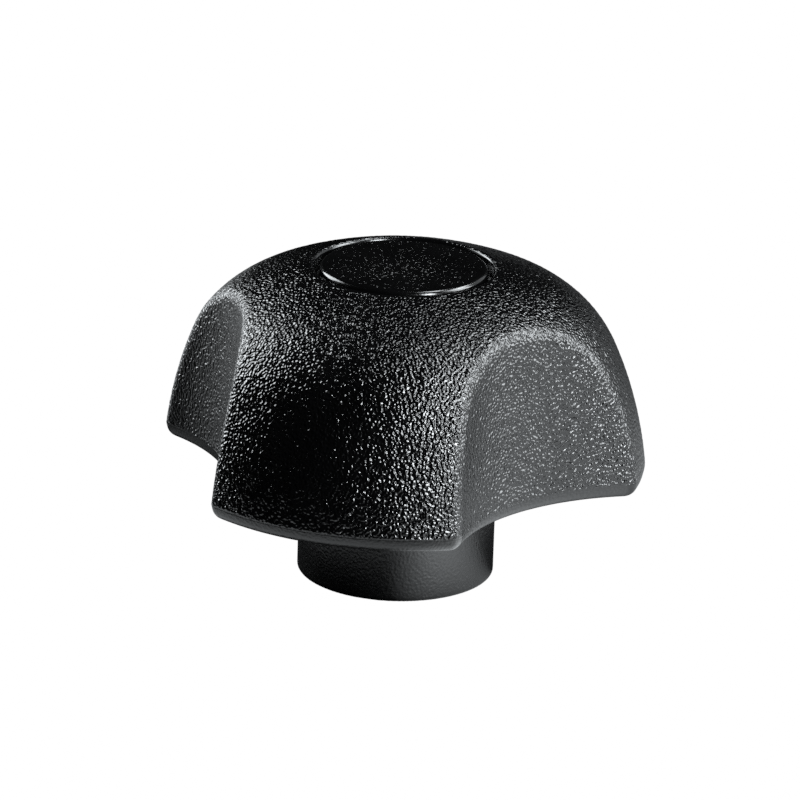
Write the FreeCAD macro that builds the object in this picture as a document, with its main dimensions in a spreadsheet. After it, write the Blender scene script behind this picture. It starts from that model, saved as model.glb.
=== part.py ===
import FreeCAD, Part
import math
import os

import Sketcher
from FreeCAD import Placement, Rotation, Vector

# Three-lobe clamping knob, also sold as a wing nut: a domed moulding with three finger
# scoops, a brass bush moulded into its boss, and a push-in cap over the core hole.
# Frame: origin at the centre of the boss's end face, +Z up the screw axis, one lobe
# towards -Y. Millimetres and degrees.

DIMENSIONS = [
    # dome, turned about Z: a side arc, a shoulder arc and a crown arc
    ("lobe_count", 3),
    ("rim_height", 10.9),  # underside of the lobes
    ("foot_radius", 25.15),  # side arc at rim_height; 25 at the parting line
    ("side_radius", 39.5),
    ("side_centre_height", 7.6),
    ("shoulder_radius", 12.8),
    ("crown_radius", 39.9),
    ("crown_top", 33.45),
    # finger scoops, each a leaning cylinder outside the knob
    ("scoop_radius", 22.0),
    ("scoop_depth_radius", 18.3),  # knob axis to scoop wall at the parting line
    ("scoop_plan_radius", 21.9),  # curvature of that wall in plan
    ("scoop_lean", 4.7),
    ("scoop_length", 60.0),
    ("scoop_blend", 2.0),
    # band from the parting line down to the underside: it leans in, then rounds under
    ("bevel_height", 1.5),
    ("bevel_depth", 0.35),
    ("lobe_radius", 25.0),
    ("rim_round", 1.3),
    # boss
    ("boss_radius", 10.0),
    ("boss_round", 0.35),
    # moulded hollow and its ribs
    ("wall", 3.0),
    ("rib_count", 6),
    ("rib_thickness", 2.2),
    ("rib_recess", 1.5),
    ("hollow_round", 0.6),
    # cap seat and core hole
    ("seat_radius", 9.1),
    ("seat_height", 30.5),
    ("lip_round", 0.35),
    ("core_radius", 7.0),
    ("core_floor", 20.5),
    # cap
    ("cap_radius", 8.5),
    ("cap_edge_height", 32.35),
    ("cap_top", 32.55),
    ("cap_round", 0.5),
    ("spigot_radius", 6.85),
    ("spigot_wall", 1.2),
    ("spigot_depth", 5.0),
    ("spigot_lead", 0.6),
    ("crush_count", 6),
    ("crush_reach", 0.14),
    ("crush_width", 0.8),
    # brass bush
    ("bush_radius", 7.4),
    ("bush_length", 18.0),
    ("collar_height", 1.2),
    ("bush_groove_low", 7.5),
    ("bush_groove_high", 10.0),
    ("bush_groove_radius", 6.2),
    ("bush_taper_height", 1.5),
    ("bush_nose_radius", 6.4),
    ("knurl_count", 24),
    ("knurl_depth", 0.45),
    ("knurl_width", 0.9),
    ("tap_drill_diameter", 6.8),  # M8 x 1.25
    ("drill_point_angle", 118.0),
    ("thread_depth", 15.0),
    ("countersink_diameter", 9.0),
    ("countersink_angle", 90.0),
]

TOLERANCE = 1e-3
LEAST_CUT = 1.0  # cubic millimetres

doc = FreeCAD.newDocument("lobe_knob")
sheet = doc.addObject("Spreadsheet::Sheet", "Dimensions")


class Size:
    """A value and the spreadsheet expression that drives it."""

    def __init__(self, value, text):
        self.value = value
        self.text = text

    def _join(self, other, sign, value):
        text = other.text if isinstance(other, Size) else repr(other)
        return Size(value, f"({self.text} {sign} {text})")

    def __add__(self, other):
        return self._join(other, "+", self.value + number(other))

    def __sub__(self, other):
        return self._join(other, "-", self.value - number(other))

    def __mul__(self, other):
        return self._join(other, "*", self.value * number(other))

    def __truediv__(self, other):
        return self._join(other, "/", self.value / number(other))


def number(size):
    return size.value if isinstance(size, Size) else float(size)


def sine(size):
    return Size(math.sin(math.radians(size.value)), f"sin({size.text})")


def cosine(size):
    return Size(math.cos(math.radians(size.value)), f"cos({size.text})")


def root(size):
    return Size(math.sqrt(size.value), f"sqrt({size.text})")


def fill_sheet():
    """Writes each dimension as a plain number with an alias, and returns them as Sizes."""
    sizes = {}
    for row, (alias, value) in enumerate(DIMENSIONS, start=1):
        sheet.set(f"A{row}", alias)
        sheet.set(f"B{row}", str(value))
        sheet.setAlias(f"B{row}", alias)
        sizes[alias] = Size(float(value), f"Dimensions.{alias}")
    doc.recompute()
    return sizes


D = fill_sheet()
ZERO = Size(0.0, "0")
PARTING = D["rim_height"] + D["bevel_height"]


def drive(feature, name, size):
    """Binds a feature's property to the sheet."""
    setattr(feature, name, size.value)
    feature.setExpression(name, size.text)


def new_body(name):
    return doc.addObject("PartDesign::Body", name)


def origin_of(body, role):
    return next(f for f in body.Origin.OriginFeatures if f.Role == role)


def new_sketch(body, name, role):
    sketch = body.newObject("Sketcher::SketchObject", name)
    sketch.AttachmentSupport = [(origin_of(body, role), "")]
    sketch.MapMode = "FlatFace"
    return sketch


def raise_sketch(sketch, height):
    sketch.AttachmentOffset = Placement(Vector(0, 0, height.value), Rotation())
    sketch.setExpression("AttachmentOffset.Base.z", height.text)


def dimension(sketch, name, kind, *args):
    """Adds a driving constraint bound to the sheet; the last argument is its Size."""
    size = args[-1]
    index = sketch.addConstraint(Sketcher.Constraint(kind, *args[:-1], size.value))
    sketch.renameConstraint(index, name)
    sketch.setExpression(f"Constraints.{name}", size.text)


def constrain(sketch, kind, *args):
    sketch.addConstraint(Sketcher.Constraint(kind, *args))


def arc(sketch, centre, radius, start, end):
    """Adds an arc running counterclockwise from one angle to the next."""
    while end <= start:
        end += 2 * math.pi
    circle = Part.Circle(Vector(*centre, 0), Vector(0, 0, 1), radius)
    return sketch.addGeometry(Part.ArcOfCircle(circle, start, end))


def line(sketch, start, end):
    return sketch.addGeometry(Part.LineSegment(Vector(*start, 0), Vector(*end, 0)))


def crown_arc(sketch, start, end):
    """Adds a shallow arc centred on the vertical axis, from start up to end on that axis."""
    rise = end[1] - start[1]
    radius = (start[0] ** 2 + rise**2) / (2 * rise)
    low = math.acos(start[0] / radius)
    edge = arc(sketch, (0, end[1] - radius), radius, low, math.pi / 2)
    constrain(sketch, "PointOnObject", edge, 3, -2)
    return edge


def outline(sketch, points, crowned=None):
    """Closed outline through (name, Size across, Size up) corners, each dimensioned.

    The edge that leaves the corner named by crowned is a shallow arc; the rest are lines.
    """
    ends = [(across.value, up.value) for _, across, up in points]
    edges = []
    for (name, _, _), here, after in zip(points, ends, ends[1:] + ends[:1]):
        draw = crown_arc if name == crowned else line
        edges.append(draw(sketch, here, after))
    for here, after in zip(edges, edges[1:] + edges[:1]):
        constrain(sketch, "Coincident", here, 2, after, 1)
    for edge, (name, across, up) in zip(edges, points):
        place(sketch, name, edge, 1, across, up)


def place(sketch, name, edge, end, across, up):
    """Dimensions a point from the sketch's origin, or puts it on an axis where that is 0."""
    for kind, axis, size in (("DistanceX", -2, across), ("DistanceY", -1, up)):
        if abs(size.value) < TOLERANCE:
            constrain(sketch, "PointOnObject", edge, end, axis)
        else:
            dimension(sketch, f"{name}_{kind[-1].lower()}", kind, -1, 1, edge, end, size)


def revolve(body, sketch, name):
    feature = body.newObject("PartDesign::Revolution", name)
    feature.Profile = sketch
    feature.ReferenceAxis = (sketch, ["V_Axis"])
    feature.Angle = 360.0
    doc.recompute()
    return feature


def around(body, feature, name, count):
    """Repeats a feature about the body's Z axis."""
    pattern = body.newObject("PartDesign::PolarPattern", name)
    pattern.Originals = [feature]
    pattern.Axis = (origin_of(body, "Z_Axis"), [""])
    pattern.Angle = 360.0
    pattern.Occurrences = int(count.value)
    pattern.setExpression("Occurrences", count.text)
    body.Tip = pattern
    doc.recompute()
    return pattern


def check_cut(before, feature):
    """A cut that points away from the solid removes nothing and reports no error."""
    if feature.Shape.Volume > before - LEAST_CUT:
        raise RuntimeError(f"{feature.Name} removed nothing")


def edges_where(feature, test):
    """Names of the feature's edges that pass the test; poles of spheres are skipped."""
    return [
        f"Edge{i}"
        for i, edge in enumerate(feature.Shape.Edges, start=1)
        if not edge.Degenerated and test(edge)
    ]


def round_edges(body, feature, name, radius, test):
    fillet = body.newObject("PartDesign::Fillet", name)
    fillet.Base = (feature, edges_where(feature, test))
    drive(fillet, "Radius", radius)
    doc.recompute()
    return fillet


def is_level(edge, height):
    """True for an edge that lies in the horizontal plane at this height."""
    box = edge.BoundBox
    return abs(box.ZMax - height) < TOLERANCE and abs(box.ZMin - height) < TOLERANCE


def is_ring(edge, radius, height):
    """True for a level arc or circle of this radius about the Z axis."""
    if not isinstance(edge.Curve, Part.Circle) or not is_level(edge, height):
        return False
    return abs(edge.Curve.Radius - radius.value) < TOLERANCE


def dome_profile(body, name, inset, inner):
    """Half section of the dome, shrunk by inset: floor, side, shoulder, crown, inner line."""
    floor = D["rim_height"]
    drop = floor - D["side_centre_height"]
    side_r = D["side_radius"] - inset
    shoulder_r = D["shoulder_radius"] - inset
    crown_r = D["crown_radius"] - inset
    reach = root(D["side_radius"] * D["side_radius"] - drop * drop)
    side_x = D["foot_radius"] - reach
    foot = side_x + root(side_r * side_r - drop * drop)
    side_c = (side_x.value, D["side_centre_height"].value)
    crown_z = D["crown_top"] - D["crown_radius"]
    crown_c = (0.0, crown_z.value)
    # the shoulder's centre lies side_r - shoulder_r from one centre and
    # crown_r - shoulder_r from the other
    near = side_r.value - shoulder_r.value
    far = crown_r.value - shoulder_r.value
    gap = math.dist(side_c, crown_c)
    along = (near**2 - far**2 + gap**2) / (2 * gap)
    off = math.sqrt(near**2 - along**2)
    ux = (crown_c[0] - side_c[0]) / gap
    uz = (crown_c[1] - side_c[1]) / gap
    shoulder_c = (side_c[0] + along * ux - off * uz, side_c[1] + along * uz + off * ux)
    foot_a = math.asin(drop.value / side_r.value)
    low = math.atan2(shoulder_c[1] - side_c[1], shoulder_c[0] - side_c[0])
    high = math.atan2(shoulder_c[1] - crown_c[1], shoulder_c[0] - crown_c[0])
    top_a = math.acos(inner.value / crown_r.value)
    top = crown_c[1] + crown_r.value * math.sin(top_a)

    sketch = new_sketch(body, name, "XZ_Plane")
    base = line(sketch, (inner.value, floor.value), (foot.value, floor.value))
    side = arc(sketch, side_c, side_r.value, foot_a, low)
    shoulder = arc(sketch, shoulder_c, shoulder_r.value, low, high)
    crown = arc(sketch, crown_c, crown_r.value, high, top_a)
    post = line(sketch, (inner.value, top), (inner.value, floor.value))
    constrain(sketch, "Coincident", base, 2, side, 1)
    constrain(sketch, "Coincident", crown, 2, post, 1)
    constrain(sketch, "Coincident", post, 2, base, 1)
    constrain(sketch, "Tangent", side, 2, shoulder, 1)
    constrain(sketch, "Tangent", shoulder, 2, crown, 1)
    constrain(sketch, "Horizontal", base)
    constrain(sketch, "PointOnObject", crown, 3, -2)
    if inner.value == 0:
        constrain(sketch, "PointOnObject", post, 1, -2)
        constrain(sketch, "PointOnObject", post, 2, -2)
    else:
        constrain(sketch, "Vertical", post)
        dimension(sketch, "inner", "DistanceX", -1, 1, post, 2, inner)
    dimension(sketch, "foot", "DistanceX", -1, 1, base, 2, foot)
    dimension(sketch, "floor", "DistanceY", -1, 1, base, 2, floor)
    dimension(sketch, "crown_centre", "DistanceY", -1, 1, crown, 3, crown_z)
    dimension(sketch, "side_centre", "DistanceY", -1, 1, side, 3, D["side_centre_height"])
    dimension(sketch, "side", "Radius", side, side_r)
    dimension(sketch, "shoulder", "Radius", shoulder, shoulder_r)
    dimension(sketch, "crown", "Radius", crown, crown_r)
    return sketch


def cut_scoops(body, inset):
    """Cuts the finger scoops; inset grows them by a wall thickness."""
    lean = D["scoop_lean"]
    half = D["scoop_length"] / 2
    across = D["scoop_depth_radius"] + D["scoop_radius"] / cosine(lean) + sine(lean) * half
    low = PARTING - cosine(lean) * half
    scoop = body.newObject("PartDesign::SubtractiveCylinder", "Scoop")
    drive(scoop, "Radius", D["scoop_radius"] + inset)
    drive(scoop, "Height", D["scoop_length"])
    scoop.AttachmentSupport = [(origin_of(body, "XY_Plane"), "")]
    scoop.MapMode = "FlatFace"
    scoop.AttachmentOffset = Placement(
        Vector(0, across.value, low.value), Rotation(0, 0, lean.value)
    )
    scoop.setExpression("AttachmentOffset.Base.y", across.text)
    scoop.setExpression("AttachmentOffset.Base.z", low.text)
    scoop.setExpression("AttachmentOffset.Rotation.Roll", lean.text)
    return around(body, scoop, "Scoops", D["lobe_count"])


def build_dome():
    """Dome with its scoops, cap seat and core hole, down to the rim height."""
    body = new_body("Dome")
    profile = dome_profile(body, "DomeProfile", ZERO, ZERO)
    revolve(body, profile, "DomeTurned")
    cut = cut_scoops(body, ZERO)
    blend = round_edges(
        body, cut, "ScoopBlend", D["scoop_blend"], lambda e: isinstance(e.Curve, Part.BSplineCurve)
    )
    seat = new_sketch(body, "SeatProfile", "XZ_Plane")
    outline(
        seat,
        [
            ("core_axis", ZERO, D["core_floor"]),
            ("core_corner", D["core_radius"], D["core_floor"]),
            ("ledge_inner", D["core_radius"], D["seat_height"]),
            ("ledge_outer", D["seat_radius"], D["seat_height"]),
            ("seat_high", D["seat_radius"], D["crown_top"] + 1),
            ("seat_axis", ZERO, D["crown_top"] + 1),
        ],
    )
    groove = body.newObject("PartDesign::Groove", "CapSeat")
    groove.Profile = seat
    groove.ReferenceAxis = (seat, ["V_Axis"])
    groove.Angle = 360.0
    doc.recompute()
    check_cut(blend.Shape.Volume, groove)
    crown_r = D["crown_radius"].value
    lip = D["crown_top"].value - crown_r + math.sqrt(crown_r**2 - D["seat_radius"].value ** 2)
    round_edges(body, groove, "SeatLip", D["lip_round"], lambda e: is_level(e, lip))
    return body


def corner_points(scoop_angle, side, lobe_r, scoop_r, away, corner_r):
    """Centre and bearing of the arc that rounds one corner of the rim outline."""
    a = lobe_r - corner_r
    b = scoop_r + corner_r
    swing = math.acos((a**2 + away**2 - b**2) / (2 * a * away))
    bearing = math.radians(scoop_angle) + side * swing
    return (a * math.cos(bearing), a * math.sin(bearing)), bearing


def build_rim():
    """Solid that flares upwards from the underside's outline; it trims the dome's rim."""
    body = new_body("Rim")
    lobe_r = D["lobe_radius"] - D["bevel_depth"]
    scoop_r = D["scoop_plan_radius"] + D["bevel_depth"]
    away = D["scoop_depth_radius"] + D["scoop_plan_radius"]
    corner_r = D["scoop_blend"] - D["bevel_depth"]
    sketch = new_sketch(body, "RimOutline", "XY_Plane")
    raise_sketch(sketch, D["rim_height"])
    sizes = (lobe_r.value, scoop_r.value, away.value, corner_r.value)
    count = int(D["lobe_count"].value)
    step = 360 / count
    scoops, lobes, corners, ring = [], [], [], []
    for k in range(count):
        angle = 90 + step * k
        centre = (
            away.value * math.cos(math.radians(angle)),
            away.value * math.sin(math.radians(angle)),
        )
        before, before_a = corner_points(angle, -1, *sizes)
        after, after_a = corner_points(angle, 1, *sizes)
        _, next_a = corner_points(angle + step, -1, *sizes)
        before_s = math.atan2(before[1] - centre[1], before[0] - centre[0])
        after_s = math.atan2(after[1] - centre[1], after[0] - centre[0])
        entry = arc(sketch, before, corner_r.value, before_a, before_s + math.pi)
        scoop = arc(sketch, centre, scoop_r.value, after_s, before_s)
        leave = arc(sketch, after, corner_r.value, after_s + math.pi, after_a)
        lobe = arc(sketch, (0, 0), lobe_r.value, after_a, next_a)
        scoops.append((scoop, math.radians(angle)))
        lobes.append(lobe)
        corners += [entry, leave]
        # end 2 of each meets end 1 of the next, but a scoop runs the other way round
        ring += [(entry, 1, 2), (scoop, 2, 1), (leave, 1, 2), (lobe, 1, 2)]
    for (here, _, end), (after, start, _) in zip(ring, ring[1:] + ring[:1]):
        constrain(sketch, "Tangent", here, end, after, start)
    for lobe in lobes:
        constrain(sketch, "Coincident", lobe, 3, -1, 1)
    for k, (scoop, angle) in enumerate(scoops):
        place(sketch, f"scoop{k}", scoop, 3, away * math.cos(angle), away * math.sin(angle))
    for name, group, size in (
        ("lobe", lobes, lobe_r),
        ("scoop", [s for s, _ in scoops], scoop_r),
        ("corner", corners, corner_r),
    ):
        dimension(sketch, name, "Radius", group[0], size)
        for other in group[1:]:
            constrain(sketch, "Equal", group[0], other)
    flare = body.newObject("PartDesign::Pad", "Flare")
    flare.Profile = sketch
    drive(flare, "Length", D["crown_top"] - D["rim_height"] + 1)
    slope = Size(
        math.degrees(math.atan(D["bevel_depth"].value / D["bevel_height"].value)),
        "atan(Dimensions.bevel_depth / Dimensions.bevel_height)",
    )
    drive(flare, "TaperAngle", slope)
    doc.recompute()
    floor = D["rim_height"].value
    round_edges(body, flare, "RimRound", D["rim_round"], lambda e: is_level(e, floor))
    return body


def build_boss():
    body = new_body("Boss")
    boss = body.newObject("PartDesign::AdditiveCylinder", "BossPost")
    drive(boss, "Radius", D["boss_radius"])
    drive(boss, "Height", D["rim_height"] + D["hollow_round"])
    doc.recompute()
    round_edges(body, boss, "BossRound", D["boss_round"], lambda e: is_ring(e, D["boss_radius"], 0))
    return body


def build_hollow():
    """What the mould core takes out of the underside: a ring, less the ribs."""
    body = new_body("Hollow")
    profile = dome_profile(body, "HollowProfile", D["wall"], D["boss_radius"])
    revolve(body, profile, "HollowTurned")
    cut_scoops(body, D["wall"])
    rib = body.newObject("PartDesign::SubtractiveBox", "Rib")
    drive(rib, "Length", D["rib_thickness"])
    drive(rib, "Width", D["lobe_radius"])
    drive(rib, "Height", D["crown_top"])
    rib.AttachmentSupport = [(origin_of(body, "XY_Plane"), "")]
    rib.MapMode = "FlatFace"
    low = D["rim_height"] + D["rib_recess"]
    aside = D["rib_thickness"] * -0.5
    rib.AttachmentOffset = Placement(Vector(aside.value, 0, low.value), Rotation())
    rib.setExpression("AttachmentOffset.Base.x", aside.text)
    rib.setExpression("AttachmentOffset.Base.z", low.text)
    ribs = around(body, rib, "Ribs", D["rib_count"])
    floor = D["rim_height"].value
    round_edges(body, ribs, "HollowRound", D["hollow_round"], lambda e: not is_level(e, floor))
    return body


def build_cap():
    body = new_body("Cap")
    sketch = new_sketch(body, "CapProfile", "XZ_Plane")
    low = D["seat_height"] - D["spigot_depth"]
    bore = D["spigot_radius"] - D["spigot_wall"]
    outline(
        sketch,
        [
            ("under", ZERO, D["seat_height"]),
            ("spigot_in", bore, D["seat_height"]),
            ("spigot_foot", bore, low),
            ("spigot_lead", D["spigot_radius"] - D["spigot_lead"] / 2, low),
            ("spigot_side", D["spigot_radius"], low + D["spigot_lead"]),
            ("spigot_root", D["spigot_radius"], D["seat_height"]),
            ("disc_low", D["cap_radius"], D["seat_height"]),
            ("disc_high", D["cap_radius"], D["cap_edge_height"]),
            ("disc_top", ZERO, D["cap_top"]),
        ],
        crowned="disc_high",
    )
    turned = revolve(body, sketch, "CapTurned")
    edge_z = D["cap_edge_height"].value
    round_edges(
        body, turned, "CapRound", D["cap_round"], lambda e: is_ring(e, D["cap_radius"], edge_z)
    )
    rib = body.newObject("PartDesign::AdditiveBox", "CrushRib")
    drive(rib, "Length", D["crush_width"])
    drive(rib, "Width", D["spigot_wall"] / 2 + D["crush_reach"])
    drive(rib, "Height", D["spigot_depth"] - D["spigot_lead"] * 2)
    rib.AttachmentSupport = [(origin_of(body, "XY_Plane"), "")]
    rib.MapMode = "FlatFace"
    aside = D["crush_width"] * -0.5
    across = D["spigot_radius"] - D["spigot_wall"] / 2
    foot = low + D["spigot_lead"] * 2
    rib.AttachmentOffset = Placement(Vector(aside.value, across.value, foot.value), Rotation())
    rib.setExpression("AttachmentOffset.Base.x", aside.text)
    rib.setExpression("AttachmentOffset.Base.y", across.text)
    rib.setExpression("AttachmentOffset.Base.z", foot.text)
    around(body, rib, "CrushRibs", D["crush_count"])
    return body


def build_bush_blank():
    body = new_body("BushBlank")
    sketch = new_sketch(body, "BushProfile", "XZ_Plane")
    outline(
        sketch,
        [
            ("axis_low", ZERO, ZERO),
            ("face", D["bush_radius"], ZERO),
            ("groove_a", D["bush_radius"], D["bush_groove_low"]),
            ("groove_b", D["bush_groove_radius"], D["bush_groove_low"]),
            ("groove_c", D["bush_groove_radius"], D["bush_groove_high"]),
            ("groove_d", D["bush_radius"], D["bush_groove_high"]),
            ("shoulder", D["bush_radius"], D["bush_length"] - D["bush_taper_height"]),
            ("nose", D["bush_nose_radius"], D["bush_length"]),
            ("axis_high", ZERO, D["bush_length"]),
        ],
    )
    turned = revolve(body, sketch, "BushTurned")
    notch_sketch = new_sketch(body, "KnurlNotch", "XY_Plane")
    raise_sketch(notch_sketch, D["collar_height"])
    low = D["bush_radius"] - D["knurl_depth"]
    high = D["bush_radius"] + D["knurl_depth"]
    outline(
        notch_sketch,
        [
            ("root", ZERO, low),
            ("right", D["knurl_width"], high),
            ("left", D["knurl_width"] * -1, high),
        ],
    )
    notch = body.newObject("PartDesign::Pocket", "Knurl")
    notch.Profile = notch_sketch
    notch.Reversed = True
    drive(notch, "Length", D["bush_length"])
    doc.recompute()
    check_cut(turned.Shape.Volume, notch)
    around(body, notch, "Knurls", D["knurl_count"])
    return body


def build_bush(blank):
    body = new_body("Bush")
    body.BaseFeature = blank
    doc.recompute()
    sketch = new_sketch(body, "BoreCentre", "XY_Plane")
    drill_r = D["tap_drill_diameter"].value / 2
    circle = sketch.addGeometry(Part.Circle(Vector(0, 0, 0), Vector(0, 0, 1), drill_r))
    constrain(sketch, "Coincident", circle, 3, -1, 1)
    dimension(sketch, "drill", "Diameter", circle, D["tap_drill_diameter"])
    doc.recompute()
    hole = body.newObject("PartDesign::Hole", "TappedHole")
    hole.Profile = sketch
    doc.recompute()
    hole.ThreadType = "ISOMetricProfile"
    hole.ThreadSize = "M8x1.25"
    hole.Threaded = True
    hole.ModelThread = False
    hole.DepthType = "Dimension"
    drive(hole, "Depth", D["thread_depth"])
    hole.DrillPoint = "Angled"
    drive(hole, "DrillPointAngle", D["drill_point_angle"])
    hole.HoleCutType = "Countersink"
    drive(hole, "HoleCutDiameter", D["countersink_diameter"])
    drive(hole, "HoleCutCountersinkAngle", D["countersink_angle"])
    hole.Reversed = True
    doc.recompute()
    check_cut(blank.Shape.Volume, hole)
    return body


def join(kind, name, *parts):
    feature = doc.addObject(kind, name)
    if kind == "Part::MultiFuse":
        feature.Shapes = list(parts)
    else:
        feature.Base, feature.Tool = parts
    doc.recompute()
    return feature


def check_document():
    for feature in doc.Objects:
        if "Invalid" in feature.State or "Error" in feature.State:
            raise RuntimeError(f"{feature.Name}: {feature.State}")


def export(node, label):
    """Names a finished sub-part and writes its STEP file."""
    node.Label = label
    if node.Shape.isNull() or not node.Shape.isValid():
        raise RuntimeError(f"{label} has no valid shape")
    node.Shape.exportStep(f"parts/{label}.step")


def main():
    blank = build_bush_blank()
    outer = join("Part::Common", "Outer", build_dome(), build_rim())
    shell = join("Part::MultiFuse", "Shell", outer, build_boss())
    cored = join("Part::Cut", "Cored", shell, build_hollow())
    moulding = join("Part::Cut", "Moulding", cored, blank)
    bush = build_bush(blank)
    cap = build_cap()
    check_document()
    os.makedirs("parts", exist_ok=True)
    export(moulding, "lobe_body")
    export(bush, "threaded_insert")
    export(cap, "push_in_cap")


main()
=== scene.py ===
import math

import bmesh
import bpy
import numpy as np
from mathutils import Matrix, Vector


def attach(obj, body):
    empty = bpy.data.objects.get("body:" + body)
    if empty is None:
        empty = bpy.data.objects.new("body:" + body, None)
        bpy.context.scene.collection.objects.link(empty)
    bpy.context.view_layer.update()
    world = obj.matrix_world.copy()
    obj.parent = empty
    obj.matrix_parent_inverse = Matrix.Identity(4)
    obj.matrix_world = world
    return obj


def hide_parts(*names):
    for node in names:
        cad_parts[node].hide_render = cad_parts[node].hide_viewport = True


# A black three-lobe clamping knob with a push-in cap and a brass M8 bush, around its CAD frame.
# Blender lengths are metres; the shape formulas below work in millimetres.

MM = 0.001
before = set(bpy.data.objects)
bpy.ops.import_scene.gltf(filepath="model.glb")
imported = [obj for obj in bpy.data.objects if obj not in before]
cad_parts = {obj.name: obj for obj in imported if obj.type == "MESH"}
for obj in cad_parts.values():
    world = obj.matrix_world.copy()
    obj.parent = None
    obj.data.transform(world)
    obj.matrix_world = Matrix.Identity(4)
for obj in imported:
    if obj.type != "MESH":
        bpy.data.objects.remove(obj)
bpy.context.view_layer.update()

# ---------------------------------------------------------------- dimensions, in mm

# Dome: side, shoulder and crown arcs above the rim.
RIM_HEIGHT, PARTING_HEIGHT = 10.9, 12.4
SIDE_RADIUS, SIDE_CENTRE_HEIGHT, FOOT_RADIUS = 39.5, 7.6, 25.15
SHOULDER_RADIUS = 12.8
CROWN_RADIUS, CROWN_TOP = 39.9, 33.45

# Finger scoops. The cosine is about that of the angle between the dome's and a scoop's normals.
SCOOP_RADIUS, SCOOP_DEPTH_RADIUS, SCOOP_PLAN_RADIUS = 22.0, 18.3, 21.9
SCOOP_LEAN = math.radians(4.7)
SCOOP_BLEND, SCOOP_COSINE = 2.0, 0.62

# Rim band: leans in by the bevel's depth, then rounds under. Its corners keep a least radius.
LOBE_RADIUS = 25.0
BEVEL_DEPTH = 0.35
BEVEL_SLOPE = BEVEL_DEPTH / (PARTING_HEIGHT - RIM_HEIGHT)
BEVEL_ANGLE = math.atan(BEVEL_SLOPE)
RIM_ROUND = 1.3
PARTING_ROUND, PARTING_COSINE = 0.08, 0.94
LEAST_CORNER = 0.2

# Boss and hollow underside.
BOSS_RADIUS, BOSS_ROUND, BOSS_OVERLAP = 10.0, 0.35, 0.5
WALL = 3.0
RIB_THICKNESS, RIB_RECESS, HOLLOW_ROUND = 2.2, 1.5, 0.6

# Seat and core hole in the crown, which falls away from the seat: hence a cosine below zero.
SEAT_RADIUS, SEAT_HEIGHT, LIP_ROUND, LIP_COSINE = 9.1, 30.5, 0.35, -0.2
CORE_RADIUS, CORE_FLOOR, CORE_ROUND = 7.0, 20.5, 0.15

# Push-in cap: disc, hollow spigot and crush ribs.
CAP_RADIUS, CAP_EDGE_HEIGHT, CAP_TOP, CAP_ROUND = 8.5, 32.35, 32.55, 0.5
SPIGOT_RADIUS, SPIGOT_WALL, SPIGOT_DEPTH, SPIGOT_LEAD = 6.85, 1.2, 5.0, 0.6
CAP_SIDE_HEIGHT = SEAT_HEIGHT + 1.0
CRUSH_COUNT, CRUSH_REACH, CRUSH_WIDTH = 6, 0.14, 0.8

# Brass bush: knurled outside with a groove and a taper, drilled and tapped inside.
BUSH_RADIUS, BUSH_LENGTH, COLLAR_HEIGHT = 7.4, 18.0, 1.2
GROOVE_LOW, GROOVE_HIGH, GROOVE_RADIUS = 7.5, 10.0, 6.2
TAPER_HEIGHT, NOSE_RADIUS = 1.5, 6.4
KNURL_COUNT, KNURL_DEPTH = 24, 0.45
DRILL_RADIUS, DRILL_DEPTH, DRILL_POINT = 3.4, 15.0, math.radians(118)
THREAD_RADIUS, THREAD_PITCH, THREAD_END = 4.0, 1.25, 13.4
COUNTERSINK_RADIUS = 4.5

# Surface relief: the bumps of the grained faces, the share of them below the parting line, and
# the share lost in the scoops. Each fade is the pair of distances between which grain comes in.
GRAIN_PITCH, GRAIN_HEIGHT, GRAIN_SEED = 0.5, 0.012, 11
LIGHT_GRAIN = 0.2
SCOOP_GRAIN_LOSS = 0.3
OUTSIDE_FADE, PARTING_FADE = (-0.06, -0.01), (-0.05, 0.15)
SEAT_FADE, SCOOP_FADE = (-0.25, 0.0), (-0.6, 0.6)
LIP_SHINE_HEIGHT, LIP_SHINE_REACH = 1.8, 0.9
CAP_EDGE_FADE = (-0.1, 0.4)

# Mesh: voxel of the moulding, points on a rounded corner, and the bush's pocket, left as remeshed.
VOXEL = 0.16
ROUND_STEPS = 7
POCKET_RADIUS, POCKET_HEIGHT = BUSH_RADIUS + 1.6, BUSH_LENGTH + 1.0


# ---------------------------------------------------------------- signed distances
# Each returns the distance to a surface, negative on the material's side unless it says otherwise.


def round_max(a, b, radius, cosine=0.0):
    """Where two surfaces meet: their intersection, with the edge rolled to a radius.

    cosine is that of the angle between the two surfaces' outward normals.
    """
    u = a + radius
    v = b + radius
    inside = (u > cosine * v) & (v > cosine * u)
    spread = (u * u + v * v - 2 * cosine * u * v) / (1 - cosine * cosine)
    rolled = np.sqrt(np.maximum(spread, 0)) - radius
    return np.where(inside, rolled, np.maximum(a, b))


def circle_meeting(centre_a, radius_a, centre_b, radius_b):
    """The upper-right point at those distances from the two centres."""
    gap = math.dist(centre_a, centre_b)
    along = (radius_a**2 - radius_b**2 + gap**2) / (2 * gap)
    off = math.sqrt(radius_a**2 - along**2)
    ux = (centre_b[0] - centre_a[0]) / gap
    uz = (centre_b[1] - centre_a[1]) / gap
    return centre_a[0] + along * ux - off * uz, centre_a[1] + along * uz + off * ux


SIDE_CENTRE = (
    FOOT_RADIUS - math.sqrt(SIDE_RADIUS**2 - (RIM_HEIGHT - SIDE_CENTRE_HEIGHT) ** 2),
    SIDE_CENTRE_HEIGHT,
)
CROWN_CENTRE = (0.0, CROWN_TOP - CROWN_RADIUS)
SHOULDER_CENTRE = circle_meeting(
    SIDE_CENTRE, SIDE_RADIUS - SHOULDER_RADIUS, CROWN_CENTRE, CROWN_RADIUS - SHOULDER_RADIUS
)


def bearing(start, end):
    return math.atan2(end[1] - start[1], end[0] - start[0])


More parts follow.
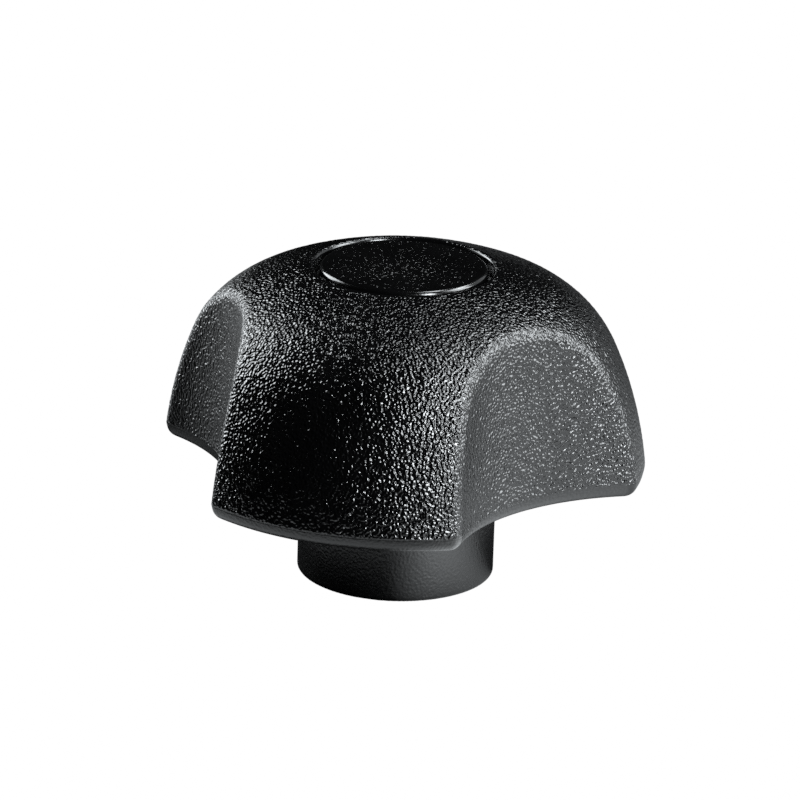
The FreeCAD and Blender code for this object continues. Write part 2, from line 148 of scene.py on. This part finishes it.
def dome_distance(r, z, inset=0.0):
    """The dome's side, shoulder and crown arcs, turned about Z."""
    turn = np.arctan2(z - SHOULDER_CENTRE[1], r - SHOULDER_CENTRE[0])
    side = np.hypot(r - SIDE_CENTRE[0], z - SIDE_CENTRE[1]) - SIDE_RADIUS
    shoulder = np.hypot(r - SHOULDER_CENTRE[0], z - SHOULDER_CENTRE[1]) - SHOULDER_RADIUS
    crown = np.hypot(r - CROWN_CENTRE[0], z - CROWN_CENTRE[1]) - CROWN_RADIUS
    low = bearing(SIDE_CENTRE, SHOULDER_CENTRE)
    high = bearing(CROWN_CENTRE, SHOULDER_CENTRE)
    beyond = (turn > high) | (turn < -math.pi / 2)
    return np.where(beyond, crown, np.where(turn < low, side, shoulder)) + inset


def sector(angle, count):
    """Folds a bearing into one of count equal sectors, the first of them centred on +Y."""
    step = 2 * math.pi / count
    return np.mod(angle - math.pi / 2 + step / 2, step) - step / 2


def scoop_distance(u, v, z, inset=0.0):
    """A leaning cylinder of air; u runs out through the scoop's middle and v across it."""
    axis_u = SCOOP_DEPTH_RADIUS + SCOOP_RADIUS / math.cos(SCOOP_LEAN)
    axis_u = axis_u - (z - PARTING_HEIGHT) * math.tan(SCOOP_LEAN)
    return SCOOP_RADIUS + inset - np.hypot((u - axis_u) * math.cos(SCOOP_LEAN), v)


def rim_distance(r, u, v, z):
    """The band: the underside's outline, flaring outwards as it rises."""
    flare = (z - RIM_HEIGHT) * BEVEL_SLOPE - BEVEL_DEPTH
    away = SCOOP_DEPTH_RADIUS + SCOOP_PLAN_RADIUS
    lobe = r - LOBE_RADIUS - flare
    scoop = SCOOP_PLAN_RADIUS - flare - np.hypot(u - away, v)
    corner = np.maximum(SCOOP_BLEND + flare, LEAST_CORNER)
    return round_max(lobe, scoop, corner, SCOOP_COSINE) * math.cos(BEVEL_ANGLE)


def hollow_distance(r, u, v, z, rib_v):
    """The hollow underside, less its ribs; negative in the air of the hollow."""
    dome = dome_distance(r, z, WALL)
    scoop = scoop_distance(u, v, z, WALL)
    room = round_max(dome, scoop, HOLLOW_ROUND, SCOOP_COSINE)
    room = round_max(room, BOSS_RADIUS - r, HOLLOW_ROUND)
    rib = round_max(
        np.abs(rib_v) - RIB_THICKNESS / 2, RIM_HEIGHT + RIB_RECESS - z, HOLLOW_ROUND
    )
    return round_max(room, -rib, HOLLOW_ROUND)


def moulding_distance(p):
    """The whole moulding apart from the bush's cavity."""
    x, y, z = p.T
    r = np.hypot(x, y)
    turn = np.arctan2(y, x)
    fold = sector(turn, 3)
    u = r * np.cos(fold)
    v = r * np.sin(fold)
    rib_v = r * np.sin(sector(turn, 6))
    top = round_max(dome_distance(r, z), scoop_distance(u, v, z), SCOOP_BLEND, SCOOP_COSINE)
    outer = round_max(top, rim_distance(r, u, v, z), PARTING_ROUND, PARTING_COSINE)
    outer = round_max(outer, RIM_HEIGHT - z, RIM_ROUND, math.sin(BEVEL_ANGLE))
    shell = np.maximum(outer, -hollow_distance(r, u, v, z, rib_v))
    boss = round_max(r - BOSS_RADIUS, -z, BOSS_ROUND)
    boss = np.maximum(boss, z - RIM_HEIGHT - BOSS_OVERLAP)
    solid = np.minimum(shell, boss)
    seat = np.maximum(r - SEAT_RADIUS, SEAT_HEIGHT - z)
    core = np.maximum(r - CORE_RADIUS, CORE_FLOOR - z)
    solid = round_max(solid, -seat, LIP_ROUND, LIP_COSINE)
    return round_max(solid, -core, CORE_ROUND)


def gradient(distance, p, step=0.004):
    """Central differences; step is in mm."""
    parts = []
    for axis in np.eye(3):
        parts.append(distance(p + axis * step) - distance(p - axis * step))
    return np.stack(parts, 1) / (2 * step)


def settle(distance, p, rounds=3, reach=0.12, least_slope=0.5):
    """Moves points on to the surface, a little at a time.

    The distance used is clipped to reach mm, and the slope is held above least_slope, so that
    a crease can't throw a point.
    """
    for _ in range(rounds):
        d = np.clip(distance(p), -reach, reach)
        g = gradient(distance, p)
        slope_squared = np.maximum((g * g).sum(1), least_slope**2)
        p = p - g * (d / slope_squared)[:, None]
    return p


# ---------------------------------------------------------------- mesh helpers


def read_points(mesh):
    flat = np.empty(len(mesh.vertices) * 3, np.float32)
    mesh.vertices.foreach_get("co", flat)
    return flat.reshape(-1, 3).astype(float) / MM


def write_points(mesh, points):
    mesh.vertices.foreach_set("co", (points * MM).astype(np.float32).ravel())
    mesh.update()


def remeshed(node, name, voxel):
    """A copy of a CAD node as even quads, voxel mm across."""
    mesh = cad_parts[node].data.copy()
    piece = bpy.data.objects.new(name, mesh)
    bpy.context.scene.collection.objects.link(piece)
    remesh = piece.modifiers.new("even", "REMESH")
    remesh.mode = "VOXEL"
    remesh.voxel_size = voxel * MM
    remesh.adaptivity = 0.0
    graph = bpy.context.evaluated_depsgraph_get()
    done = bpy.data.meshes.new_from_object(piece.evaluated_get(graph))
    piece.modifiers.clear()
    piece.data = done
    done.name = name
    return piece


def mesh_piece(name, points, faces):
    mesh = bpy.data.meshes.new(name)
    mesh.from_pydata((np.asarray(points) * MM).tolist(), [], faces)
    mesh.update()
    piece = bpy.data.objects.new(name, mesh)
    bpy.context.scene.collection.objects.link(piece)
    return piece


def turned_piece(name, rings, columns):
    """A closed solid from a point, then rings of that many columns, then a point."""
    points = [rings[0]]
    for ring in rings[1:-1]:
        points.extend(ring)
    points.append(rings[-1])
    last = len(points) - 1
    row_count = len(rings) - 2
    faces = []
    for column in range(columns):
        here = 1 + column
        beside = 1 + (column + 1) % columns
        faces.append((0, here, beside))
        for row in range(row_count - 1):
            up = row * columns
            down = up + columns
            faces.append((here + up, here + down, beside + down, beside + up))
        up = (row_count - 1) * columns
        faces.append((here + up, last, beside + up))
    return mesh_piece(name, points, faces)


def loop(radius, height, bearings):
    """One ring of points; its radius and height may vary with the bearing."""
    return np.stack(
        [radius * np.cos(bearings), radius * np.sin(bearings), height + 0 * bearings], 1
    )


def rounded_run(corners, pitch):
    """Points about pitch apart along corners given as (radius, height, rounding)."""
    run = [np.array(corners[0][:2])]
    for before, here, after in zip(corners, corners[1:], corners[2:]):
        at = np.array(here[:2])
        back = np.array(before[:2]) - at
        ahead = np.array(after[:2]) - at
        back = back / np.hypot(*back)
        ahead = ahead / np.hypot(*ahead)
        half = math.acos(back @ ahead) / 2
        middle = back + ahead
        centre = at + middle / np.hypot(*middle) * here[2] / math.sin(half)
        start = at + back * here[2] / math.tan(half) - centre
        end = at + ahead * here[2] / math.tan(half) - centre
        first = math.atan2(start[1], start[0])
        turn = math.remainder(math.atan2(end[1], end[0]) - first, 2 * math.pi)
        for step in np.linspace(0, 1, ROUND_STEPS):
            angle = first + turn * step
            run.append(centre + here[2] * np.array([math.cos(angle), math.sin(angle)]))
    run.append(np.array(corners[-1][:2]))
    filled = [run[0]]
    for here, after in zip(run, run[1:]):
        count = max(1, round(math.dist(here, after) / pitch))
        filled.extend(here + (after - here) * step / count for step in range(1, count + 1))
    return filled


def set_attribute(piece, name, values):
    layer = piece.data.attributes.new(name, "FLOAT", "POINT")
    layer.data.foreach_set("value", values.astype(np.float32))


def shade_smooth(piece):
    piece.data.polygons.foreach_set("use_smooth", np.ones(len(piece.data.polygons), bool))
    piece.data.update()


def shade_by_angle(piece, degrees):
    """Smooth shading that keeps edges sharper than this angle crisp."""
    shade_smooth(piece)
    work = bmesh.new()
    work.from_mesh(piece.data)
    for edge in work.edges:
        edge.smooth = edge.calc_face_angle(0) < math.radians(degrees)
    work.to_mesh(piece.data)
    work.free()


def pebble(p, pitch, seed, waves=48):
    """An even random relief in space, mostly between -1 and 1, its bumps about pitch mm apart."""
    rng = np.random.default_rng(seed)
    heading = rng.normal(size=(waves, 3))
    heading /= np.linalg.norm(heading, axis=1)[:, None]
    pace = 2 * math.pi / pitch * rng.uniform(0.8, 1.25, waves)
    phase = rng.uniform(0, 2 * math.pi, waves)
    usual_peak = 1.6
    total = np.zeros(len(p))
    for direction, offset in zip(heading * pace[:, None], phase):
        total += np.cos(p @ direction + offset)
    return total / math.sqrt(waves / 2) / usual_peak


def smooth_step(value, low, high):
    t = np.clip((value - low) / (high - low), 0, 1)
    return t * t * (3 - 2 * t)


def grain_share(p):
    """1 on the dome, less in the scoops, little below the parting line, 0 at the lip and inside."""
    x, y, z = p.T
    r = np.hypot(x, y)
    fold = sector(np.arctan2(y, x), 3)
    dome = dome_distance(r, z)
    scoop = scoop_distance(r * np.cos(fold), r * np.sin(fold), z)
    outside = smooth_step(round_max(dome, scoop, SCOOP_BLEND, SCOOP_COSINE), *OUTSIDE_FADE)
    above = smooth_step(z - PARTING_HEIGHT, *PARTING_FADE)
    beyond_seat = 1 - smooth_step(SEAT_RADIUS - r, *SEAT_FADE)
    in_scoop = smooth_step(scoop - dome, *SCOOP_FADE)
    share = outside * above * beyond_seat * (1 - SCOOP_GRAIN_LOSS * in_scoop)
    return np.maximum(share, LIGHT_GRAIN * (z < PARTING_HEIGHT))


def lip_shine(p):
    """1 close to the rounded lip around the seat."""
    r = np.hypot(p[:, 0], p[:, 1])
    return np.hypot(r - SEAT_RADIUS, p[:, 2] - SEAT_HEIGHT - LIP_SHINE_HEIGHT) < LIP_SHINE_REACH


def build_moulding():
    piece = remeshed("lobe_body", "knob_moulding", VOXEL)
    p = read_points(piece.data)
    in_pocket = (np.hypot(p[:, 0], p[:, 1]) < POCKET_RADIUS) & (p[:, 2] < POCKET_HEIGHT)
    p[~in_pocket] = settle(moulding_distance, p[~in_pocket])
    grain = grain_share(p)
    set_attribute(piece, "grain", grain)
    set_attribute(piece, "burnish", lip_shine(p) * (1 - grain))
    relief = pebble(p, GRAIN_PITCH, GRAIN_SEED) * GRAIN_HEIGHT * grain
    p = p + gradient(moulding_distance, p) * relief[:, None]
    write_points(piece.data, p)
    shade_smooth(piece)
    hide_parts("lobe_body")
    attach(piece, "knob")
    return piece


CRUSH_EDGE = math.asin(CRUSH_WIDTH / 2 / SPIGOT_RADIUS)
CRUSH_FOOT = CRUSH_EDGE * 1.15
COLUMNS_BETWEEN_RIBS = 34


def repeated(bearings, count):
    """One sector's bearings, copied to each of count sectors from +Y on."""
    step = 2 * math.pi / count
    return np.concatenate([bearings + k * step for k in range(count)]) + math.pi / 2


def crush_rib_bearings():
    """Bearings that put a column on each edge of each crush rib, and even ones between."""
    rib = [-CRUSH_FOOT, -CRUSH_EDGE, 0.0, CRUSH_EDGE, CRUSH_FOOT]
    next_foot = 2 * math.pi / CRUSH_COUNT - CRUSH_FOOT
    between = np.linspace(CRUSH_FOOT, next_foot, COLUMNS_BETWEEN_RIBS + 2)[1:-1]
    return repeated(np.concatenate([rib, between]), CRUSH_COUNT)


def cap_corners():
    """The cap's section from the spigot's hollow round to the middle of the disc."""
    inner = SPIGOT_RADIUS - SPIGOT_WALL
    low = SEAT_HEIGHT - SPIGOT_DEPTH
    return [
        (0.0, SEAT_HEIGHT, 0.0),
        (inner, SEAT_HEIGHT, 0.3),
        (inner, low, 0.15),
        (SPIGOT_RADIUS - SPIGOT_LEAD / 2, low, 0.1),
        (SPIGOT_RADIUS, low + SPIGOT_LEAD, 0.2),
        (SPIGOT_RADIUS, SEAT_HEIGHT, 0.1),
        (CAP_RADIUS, SEAT_HEIGHT, 0.12),
        (CAP_RADIUS, CAP_EDGE_HEIGHT, CAP_ROUND),
        (0.0, CAP_EDGE_HEIGHT, 0.0),
    ]


def closed_rings(rings):
    """The rings, with the first and the last, which have no radius, each made one point."""
    return [rings[0][0]] + rings[1:-1] + [rings[-1][0]]


def build_cap():
    bearings = crush_rib_bearings()
    on_rib = np.abs(sector(bearings, CRUSH_COUNT)) < CRUSH_EDGE * 1.05
    rib_low = SEAT_HEIGHT - SPIGOT_DEPTH + SPIGOT_LEAD * 2
    rings = []
    for radius, height in rounded_run(cap_corners(), 0.3):
        ribbed = abs(radius - SPIGOT_RADIUS) < 0.01 and height > rib_low
        swell = on_rib * CRUSH_REACH * ribbed
        crown = (CAP_TOP - CAP_EDGE_HEIGHT) * (1 - (radius / CAP_RADIUS) ** 2)
        on_disc = height > CAP_SIDE_HEIGHT
        rings.append(loop(radius + swell, height + crown * on_disc, bearings))
    piece = turned_piece("cap_disc", closed_rings(rings), len(bearings))
    p = read_points(piece.data)
    flat = smooth_step(CAP_RADIUS - CAP_ROUND - np.hypot(p[:, 0], p[:, 1]), *CAP_EDGE_FADE)
    on_disc = p[:, 2] > CAP_SIDE_HEIGHT
    set_attribute(piece, "grain", flat * on_disc)
    set_attribute(piece, "burnish", (1 - flat) * on_disc)
    shade_smooth(piece)
    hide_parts("push_in_cap")
    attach(piece, "cap")
    return piece


def knurl_bearings():
    """Twelve columns to each knurl, with one on its root and one on each edge."""
    edge = math.asin(KNURL_DEPTH / BUSH_RADIUS)
    step = 2 * math.pi / KNURL_COUNT
    notch = np.linspace(-edge, edge, 7)
    land = np.linspace(edge, step - edge, 7)[1:-1]
    return repeated(np.concatenate([notch, land]), KNURL_COUNT)


def knurled(radius, bearings):
    """The radius, cut by notches whose sides meet at a right angle."""
    fold = np.abs(sector(bearings, KNURL_COUNT))
    return np.minimum(radius, (BUSH_RADIUS - KNURL_DEPTH) / (np.cos(fold) - np.sin(fold)))


def thread_radius(height, bearings):
    """Wall of the threaded bore: a 60 degree V with flats at its crest and root."""
    phase = np.mod(height / THREAD_PITCH - bearings / (2 * math.pi), 1.0)
    away = np.abs(phase - 0.5) * THREAD_PITCH - THREAD_PITCH / 16
    cut = np.clip(THREAD_RADIUS - away * math.sqrt(3), DRILL_RADIUS, THREAD_RADIUS)
    fade = smooth_step(THREAD_END - height, 0.0, THREAD_PITCH)
    return DRILL_RADIUS + (cut - DRILL_RADIUS) * fade


def bush_outside():
    """The bush's section from its nose down to its collar."""
    return [
        (0.0, BUSH_LENGTH, 0.0),
        (NOSE_RADIUS, BUSH_LENGTH, 0.15),
        (BUSH_RADIUS, BUSH_LENGTH - TAPER_HEIGHT, 0.15),
        (BUSH_RADIUS, GROOVE_HIGH, 0.1),
        (GROOVE_RADIUS, GROOVE_HIGH, 0.15),
        (GROOVE_RADIUS, GROOVE_LOW, 0.15),
        (BUSH_RADIUS, GROOVE_LOW, 0.1),
        (BUSH_RADIUS, COLLAR_HEIGHT + 0.01, 0.0),
    ]


def bush_face():
    """The bush's section from its collar across its end face and into the countersink."""
    return [
        (BUSH_RADIUS, COLLAR_HEIGHT, 0.0),
        (BUSH_RADIUS, 0.0, 0.08),
        (COUNTERSINK_RADIUS, 0.0, 0.06),
        (DRILL_RADIUS + 0.05, COUNTERSINK_RADIUS - DRILL_RADIUS - 0.05, 0.0),
    ]


def build_bush():
    bearings = knurl_bearings()
    rings = [loop(knurled(r, bearings), z, bearings) for r, z in rounded_run(bush_outside(), 0.5)]
    for r, z in rounded_run(bush_face(), 0.3):
        thread = thread_radius(z, bearings) * (r < COUNTERSINK_RADIUS)
        rings.append(loop(np.maximum(r, thread), z, bearings))
    bore = np.arange(COUNTERSINK_RADIUS - DRILL_RADIUS, DRILL_DEPTH, THREAD_PITCH / 14)
    rings.extend(loop(thread_radius(z, bearings), z, bearings) for z in bore)
    rings.append(loop(DRILL_RADIUS, DRILL_DEPTH, bearings))
    rings.append(loop(0.0, DRILL_DEPTH + DRILL_RADIUS / math.tan(DRILL_POINT / 2), bearings))
    piece = turned_piece("brass_bush", closed_rings(rings), len(bearings))
    shade_by_angle(piece, 35)
    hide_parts("threaded_insert")
    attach(piece, "knob")
    return piece


# ---------------------------------------------------------------- materials


def new_material(name):
    material = bpy.data.materials.new(name)
    material.use_nodes = True
    tree = material.node_tree
    tree.nodes.clear()
    return material, tree


class Nodes:
    """Short calls for building a node tree."""

    def __init__(self, tree):
        self.tree = tree

    def add(self, kind, inputs=None, **settings):
        node = self.tree.nodes.new(kind)
        for key, value in settings.items():
            setattr(node, key, value)
        for key, value in (inputs or {}).items():
            if isinstance(value, bpy.types.NodeSocket):
                self.tree.links.new(value, node.inputs[key])
            else:
                node.inputs[key].default_value = value
        return node

    def math(self, operation, a, b=0.0):
        return self.add("ShaderNodeMath", {0: a, 1: b}, operation=operation).outputs[0]

    def millimetres(self):
        place = self.add("ShaderNodeTexCoord").outputs["Object"]
        scaled = self.add("ShaderNodeVectorMath", {0: place, "Scale": 1 / MM}, operation="SCALE")
        return scaled.outputs[0]

    def noise(self, place, scale, detail=0.0, rough=0.5):
        inputs = {"Vector": place, "Scale": scale, "Detail": detail, "Roughness": rough}
        return self.add("ShaderNodeTexNoise", inputs).outputs["Fac"]

    def spread(self, value, low, high, to_low, to_high):
        inputs = {
            "Value": value, "From Min": low, "From Max": high, "To Min": to_low, "To Max": to_high
        }
        return self.add("ShaderNodeMapRange", inputs).outputs[0]

    def wedge(self, value, rise, fall, top, beyond):
        """0 below rise, top between, and beyond past fall."""
        up = self.spread(value, *rise, 0.0, 1.0)
        down = self.spread(value, *fall, top, beyond)
        return self.math("MULTIPLY", up, down)

    def dot(self, place, direction):
        node = self.add("ShaderNodeVectorMath", {0: place, 1: direction}, operation="DOT_PRODUCT")
        return node.outputs["Value"]

    def attribute(self, name):
        return self.add("ShaderNodeAttribute", attribute_name=name).outputs["Fac"]

    def bump(self, height, distance, normal=None):
        inputs = {"Height": height, "Distance": distance, "Strength": 1.0}
        if normal is not None:
            inputs["Normal"] = normal
        return self.add("ShaderNodeBump", inputs).outputs[0]

    def mix_colour(self, factor, a, b):
        node = self.add("ShaderNodeMix", data_type="RGBA")
        for socket, value in (("Factor_Float", factor), ("A_Color", a), ("B_Color", b)):
            target = next(i for i in node.inputs if i.identifier == socket)
            if isinstance(value, bpy.types.NodeSocket):
                self.tree.links.new(value, target)
            else:
                target.default_value = value
        return next(o for o in node.outputs if o.identifier == "Result_Color")

    def finish(self, **inputs):
        shader = self.add(
            "ShaderNodeBsdfPrincipled", {k.replace("_", " "): v for k, v in inputs.items()}
        )
        self.add("ShaderNodeOutputMaterial", {"Surface": shader.outputs[0]})


BLACK, WORN_BLACK = (0.0006, 0.0006, 0.0007, 1), (0.0013, 0.0013, 0.0014, 1)
BRASS, DULL_BRASS = (0.72, 0.50, 0.20, 1), (0.50, 0.33, 0.13, 1)
POLYAMIDE_IOR = 1.53
SMOOTH_FACE_ROUGHNESS, GRAINED_ROUGHNESS, SHINE = 0.36, 0.15, 0.2
FINE_PER_MM, FINE_HEIGHT = 9.0, 0.006
TURNING_PER_MM, TURNING_HEIGHT = 9.0, 0.012
TONE_PER_MM, PATCHES_PER_MM = 0.15, 0.6


def polyamide(name, pebbles_per_mm, pebble_height):
    """Black glass-filled polyamide: pebbled by the mesh's grain and shinier by its burnish."""
    material, tree = new_material(name)
    n = Nodes(tree)
    place = n.millimetres()
    grain = n.attribute("grain")
    pebbles = n.noise(place, pebbles_per_mm)
    fine = n.noise(place, FINE_PER_MM, detail=2.0, rough=0.6)
    normal = n.bump(n.math("MULTIPLY", pebbles, grain), pebble_height * MM)
    normal = n.bump(fine, FINE_HEIGHT * MM, normal)
    tone = n.noise(place, TONE_PER_MM, detail=3.0, rough=0.6)
    colour = n.mix_colour(n.spread(tone, 0.35, 0.65, 0.0, 1.0), BLACK, WORN_BLACK)
    rough = n.spread(grain, 0.0, 1.0, SMOOTH_FACE_ROUGHNESS, GRAINED_ROUGHNESS)
    rough = n.math("SUBTRACT", rough, n.math("MULTIPLY", n.attribute("burnish"), SHINE))
    rough = n.math("ADD", rough, n.spread(fine, 0.3, 0.7, -0.05, 0.05))
    n.finish(Base_Color=colour, Roughness=rough, Normal=normal, IOR=POLYAMIDE_IOR)
    return material


def turned_brass():
    """Brass with turning marks around the Z axis and a few darker, handled patches."""
    material, tree = new_material("bush_brass")
    n = Nodes(tree)
    place = n.millimetres()
    split = n.add("ShaderNodeSeparateXYZ", {0: place}).outputs
    across = n.math("MULTIPLY", split[0], split[0])
    along = n.math("MULTIPLY", split[1], split[1])
    radius = n.math("SQRT", n.math("ADD", across, along))
    section = n.add("ShaderNodeCombineXYZ", {0: radius, 1: split[2]}).outputs[0]
    marks = n.noise(section, TURNING_PER_MM, detail=3.0, rough=0.7)
    patches = n.noise(place, PATCHES_PER_MM, detail=4.0, rough=0.65)
    colour = n.mix_colour(n.spread(patches, 0.35, 0.7, 0.0, 1.0), BRASS, DULL_BRASS)
    rough = n.spread(patches, 0.3, 0.7, 0.20, 0.38)
    rough = n.math("ADD", rough, n.spread(marks, 0.3, 0.7, -0.05, 0.05))
    normal = n.bump(marks, TURNING_HEIGHT * MM)
    n.finish(Base_Color=colour, Roughness=rough, Metallic=1.0, Normal=normal)
    return material


# ---------------------------------------------------------------- stage

CAMERA_AZIMUTH, CAMERA_ELEVATION, CAMERA_ROLL = 16.59, 19.82, 1.78
CAMERA_DISTANCE = 571.1
CAMERA_TARGET = (0.0, 0.0, 16.0)
CAMERA_LENS, SENSOR = 253.9, 36.0
CAMERA_SHIFT = (0.00055, 0.0236)
LIGHT_TINT = (0.93, 0.975, 1.0, 1.0)
WHITE = (1, 1, 1, 1)
WORLD_STRENGTH = 0.006
FLOOR_REACH, FLOOR_GAP = 900.0, 0.02

# Softboxes: bearing to the right of the camera's own, elevation, width and height as seen from
# the knob, all in degrees, then radiance and distance in mm.
SOFTBOXES = {
    "key_right": (37, 25, 11, 44, 36, 500.0),
    "side_right": (90, 20, 24, 64, 12, 500.0),
    "right_wall": (105, 18, 80, 44, 0.7, 520.0),
    "rear_left": (-127, 21, 26, 43, 9.5, 500.0),
    "overhead": (118, 70, 18, 12, 14, 500.0),
    "high_right": (112, 46, 20, 13, 15, 500.0),
}


def outward(azimuth, elevation):
    """Unit vector from the object; azimuth 0 is towards -Y and 90 towards +X."""
    a, e = math.radians(azimuth), math.radians(elevation)
    return Vector((math.sin(a) * math.cos(e), -math.cos(a) * math.cos(e), math.sin(e)))


def build_camera():
    data = bpy.data.cameras.new("camera")
    data.lens = CAMERA_LENS
    data.sensor_width = SENSOR
    data.shift_x, data.shift_y = CAMERA_SHIFT
    data.clip_start, data.clip_end = 0.01, 20.0
    camera = bpy.data.objects.new("camera", data)
    bpy.context.scene.collection.objects.link(camera)
    back = outward(CAMERA_AZIMUTH, CAMERA_ELEVATION)
    facing = (-back).to_track_quat("-Z", "Y").to_matrix()
    roll = Matrix.Rotation(math.radians(CAMERA_ROLL), 3, "Z")
    place = Vector(CAMERA_TARGET) + back * CAMERA_DISTANCE
    camera.matrix_world = Matrix.Translation(place * MM) @ (facing @ roll).to_4x4()
    bpy.context.scene.camera = camera


def softbox(name, azimuth, elevation, width, height, radiance, distance):
    """An area light of even radiance, placed and sized as SOFTBOXES says."""
    across, along = (2 * distance * MM * math.tan(math.radians(a) / 2) for a in (width, height))
    data = bpy.data.lights.new(name, "AREA")
    data.shape = "RECTANGLE"
    data.size, data.size_y = across, along
    data.color = LIGHT_TINT[:3]
    data.energy = radiance * math.pi * across * along
    lamp = bpy.data.objects.new(name, data)
    bpy.context.scene.collection.objects.link(lamp)
    aim = outward(CAMERA_AZIMUTH + azimuth, elevation)
    lamp.location = (Vector(CAMERA_TARGET) + aim * distance) * MM
    lamp.rotation_mode = "QUATERNION"
    lamp.rotation_quaternion = (-aim).to_track_quat("-Z", "Y")
    lamp.visible_camera = False


def seen_and_lit(tree, seen, lit):
    """One shader for camera rays and another for the rest."""
    n = Nodes(tree)
    path = n.add("ShaderNodeLightPath").outputs["Is Camera Ray"]
    return n.add("ShaderNodeMixShader", {0: path, 1: lit, 2: seen}).outputs[0]


def build_world():
    world = bpy.data.worlds.new("studio")
    world.use_nodes = True
    tree = world.node_tree
    tree.nodes.clear()
    n = Nodes(tree)
    seen = n.add("ShaderNodeBackground", {"Color": WHITE, "Strength": 1.0}).outputs[0]
    dim = n.add("ShaderNodeBackground", {"Color": WHITE, "Strength": WORLD_STRENGTH}).outputs[0]
    n.add("ShaderNodeOutputWorld", {"Surface": seen_and_lit(tree, seen, dim)})
    bpy.context.scene.world = world


def painted_floor_light(n):
    """Painted light and shade on the paper: how brightly the knob sees each place on it.

    Bright to the right, most of all close by; dimmer far out at the left; a ring just outside the
    lobes' edge at the front and left; bright again under the boss's end face; nearly dark
    elsewhere. Bearings are degrees to the right of the camera's own and reaches are mm from the
    knob's axis. Each pair is where a patch fades in or out.
    """
    place = n.millimetres()
    right = n.dot(place, outward(CAMERA_AZIMUTH + 90, 0))
    front = n.dot(place, outward(CAMERA_AZIMUTH, 0))
    reach = n.add("ShaderNodeVectorMath", {0: place}, operation="LENGTH").outputs["Value"]
    bearing_to = n.math("DEGREES", n.math("ARCTAN2", right, front))

    glow = n.wedge(bearing_to, (5, 40), (50, 150), 2.0, 0.1)
    glow = n.math("MULTIPLY", glow, n.wedge(reach, (20, 48), (60, 90), 1.2, 1.0))

    left = n.wedge(bearing_to, (-172, -160), (-150, -90), 0.75, 0.0)
    left = n.math("MULTIPLY", left, n.spread(reach, 40, 60, 0.0, 1.0))

    ring = n.wedge(reach, (22, 27), (35, 46), 1.0, 0.0)
    ring = n.math("MULTIPLY", ring, n.wedge(bearing_to, (-120, -90), (5, 45), 1.0, 0.0))

    near_middle = outward(CAMERA_AZIMUTH + 44, 0) * LOBE_RADIUS
    away = n.add("ShaderNodeVectorMath", {0: place, 1: near_middle}, operation="DISTANCE")
    near = n.spread(away.outputs["Value"], 5, 19, 2.6, 0.0)

    under_boss = n.spread(reach, BOSS_RADIUS - 2, BOSS_RADIUS - 0.5, 1.2, 0.0)

    total = n.math("ADD", n.math("ADD", glow, left), n.math("ADD", near, ring))
    return n.math("ADD", total, under_boss)


def build_floor():
    """White paper: plain white to the camera, and to everything else a glow of painted light and
    shade. Clear when looked at from below.
    """
    material, tree = new_material("floor")
    n = Nodes(tree)
    # Painted light: the paper's patterned glow, seen only in the knob's reflections and in the
    # light it sheds on it.
    lit = n.add("ShaderNodeEmission", {"Color": LIGHT_TINT, "Strength": painted_floor_light(n)}).outputs[0]
    seen = n.add("ShaderNodeEmission", {"Color": WHITE, "Strength": 1.0}).outputs[0]
    clear = n.add("ShaderNodeBsdfTransparent").outputs[0]
    below = n.add("ShaderNodeNewGeometry").outputs["Backfacing"]
    shader = n.add("ShaderNodeMixShader", {0: below, 1: seen_and_lit(tree, seen, lit), 2: clear})
    n.add("ShaderNodeOutputMaterial", {"Surface": shader.outputs[0]})
    corners = [(-1, -1), (1, -1), (1, 1), (-1, 1)]
    points = [(x * FLOOR_REACH, y * FLOOR_REACH, -FLOOR_GAP) for x, y in corners]
    floor = mesh_piece("floor", points, [(0, 1, 2, 3)])
    floor.data.materials.append(material)


def wear(piece, material):
    piece.data.materials.clear()
    piece.data.materials.append(material)


wear(build_moulding(), polyamide("knob_polyamide", 3.7, 0.165))
wear(build_cap(), polyamide("cap_polyamide", 3.9, 0.19))
wear(build_bush(), turned_brass())
build_camera()
build_world()
build_floor()
for box_name, settings in SOFTBOXES.items():
    softbox(box_name, *settings)
bpy.context.scene.view_settings.view_transform = "Standard"
bpy.context.scene.cycles.use_denoising = False
